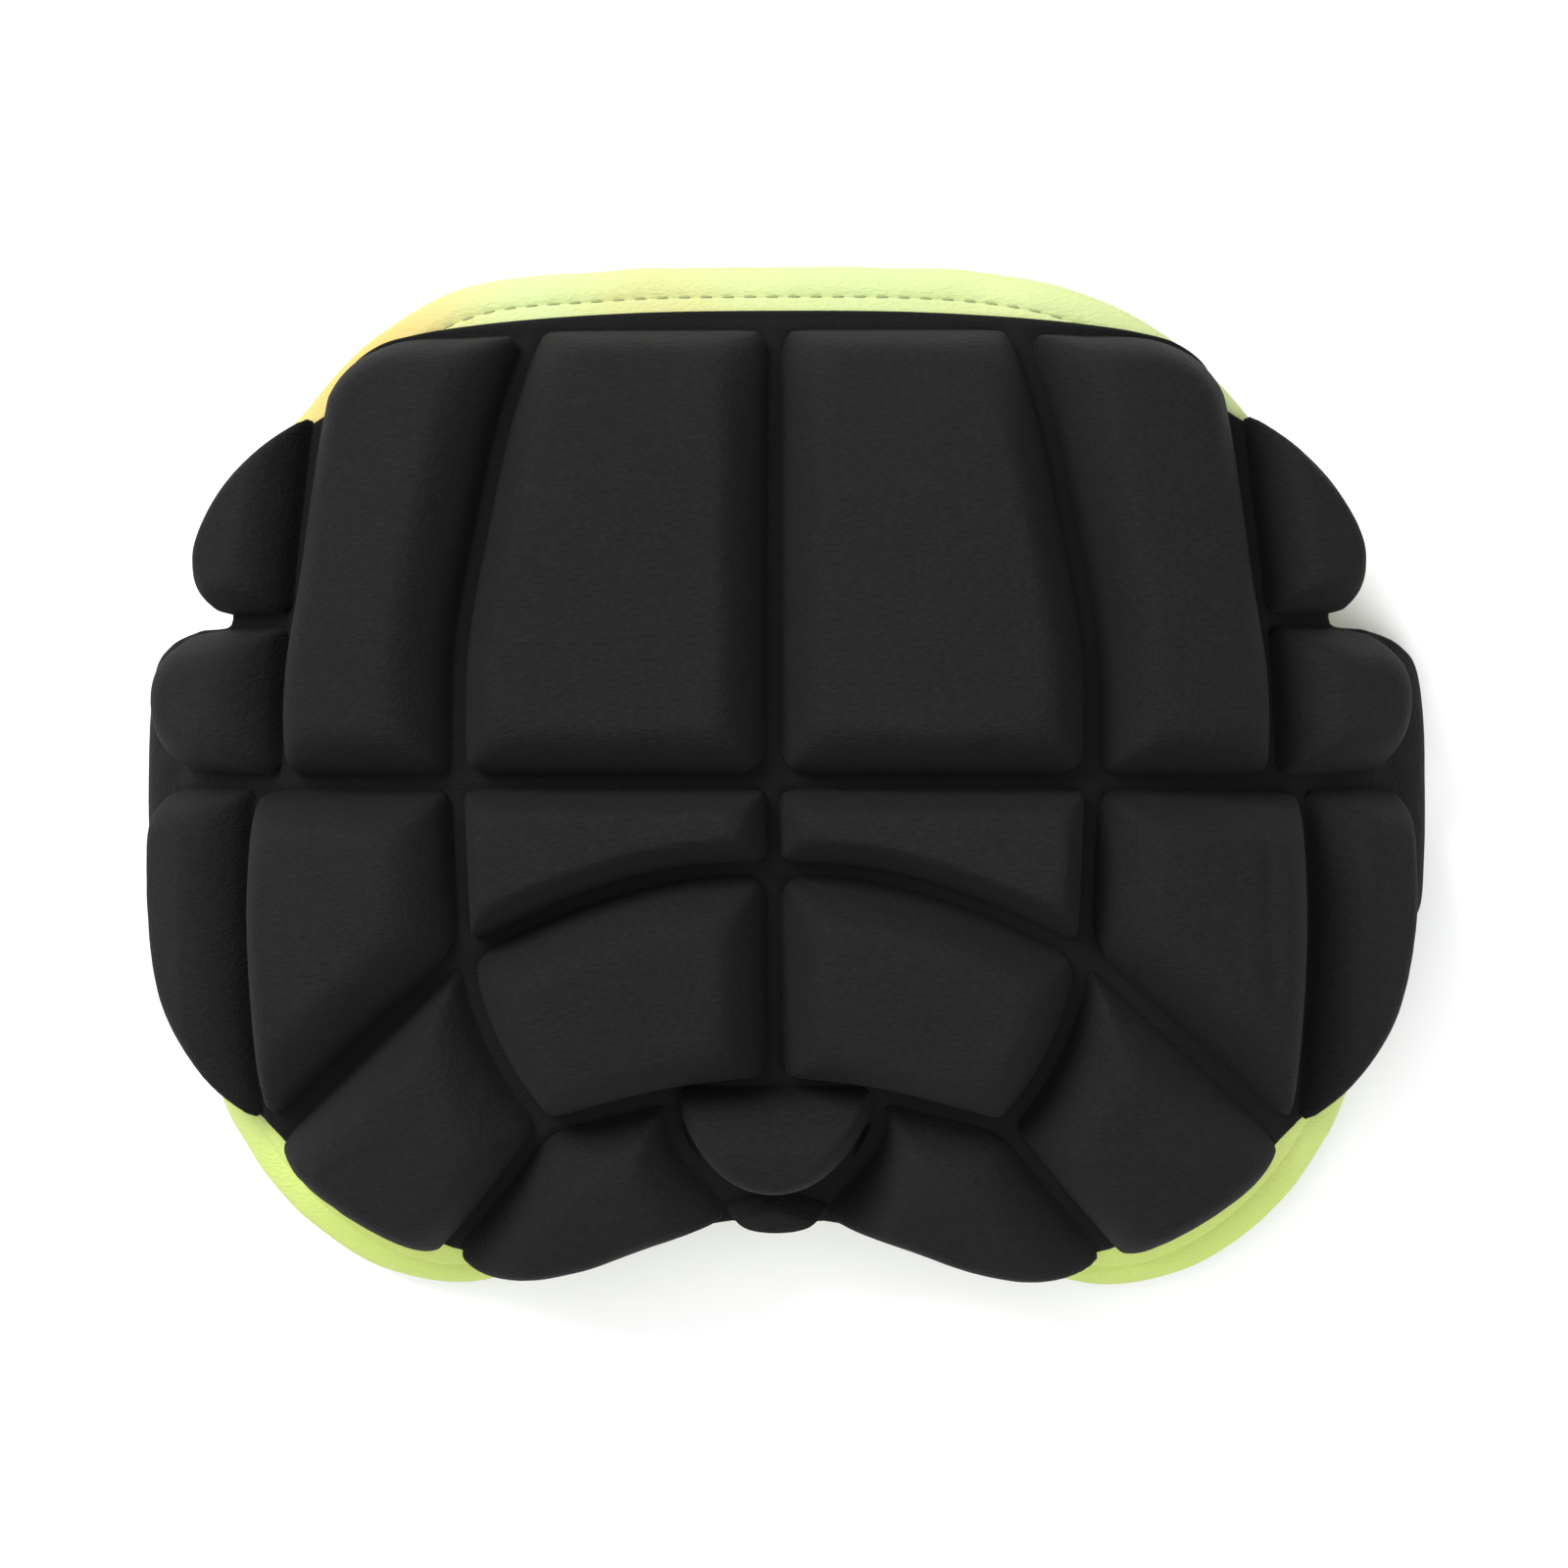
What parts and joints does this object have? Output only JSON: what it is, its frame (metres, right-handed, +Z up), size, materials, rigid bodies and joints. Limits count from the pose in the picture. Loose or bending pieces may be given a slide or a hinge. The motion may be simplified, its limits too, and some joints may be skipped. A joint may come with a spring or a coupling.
{
  "type": "tailbone protector pad",
  "caption": "Bent tailbone pad of raised black foam blocks on one black sheet, over a lime lining with a bound edge and a tab at each flank.",
  "frame": {"origin": "under the middle of the pad's box, on the level that its flank tabs stand on", "axes": "+Z up, away from the wearer's body, +X to the right in the picture, +Y towards the waist edge"},
  "size_m": [0.3148, 0.2472, 0.0769],
  "materials": {
    "black_knit": "matte",
    "lime_knit": "matte"
  },
  "bodies": {
    "root": {"backing": "black_knit", "lining": "lime_knit", "edge_binding": "lime_knit", "upper_inner_r": "black_knit", "upper_inner_l": "black_knit", "upper_outer_r": "black_knit", "upper_outer_l": "black_knit", "wing_r": "black_knit", "wing_l": "black_knit", "side_knob_r": "black_knit", "side_knob_l": "black_knit", "side_strip_r": "black_knit", "side_strip_l": "black_knit", "hip_r": "black_knit", "hip_l": "black_knit", "band_r": "black_knit", "band_l": "black_knit", "sacrum_r": "black_knit", "sacrum_l": "black_knit", "thigh_r": "black_knit", "thigh_l": "black_knit", "lobe_r": "black_knit", "lobe_l": "black_knit", "tailbone_dome": "black_knit", "tail_lip": "black_knit"}
  },
  "joints": []
}
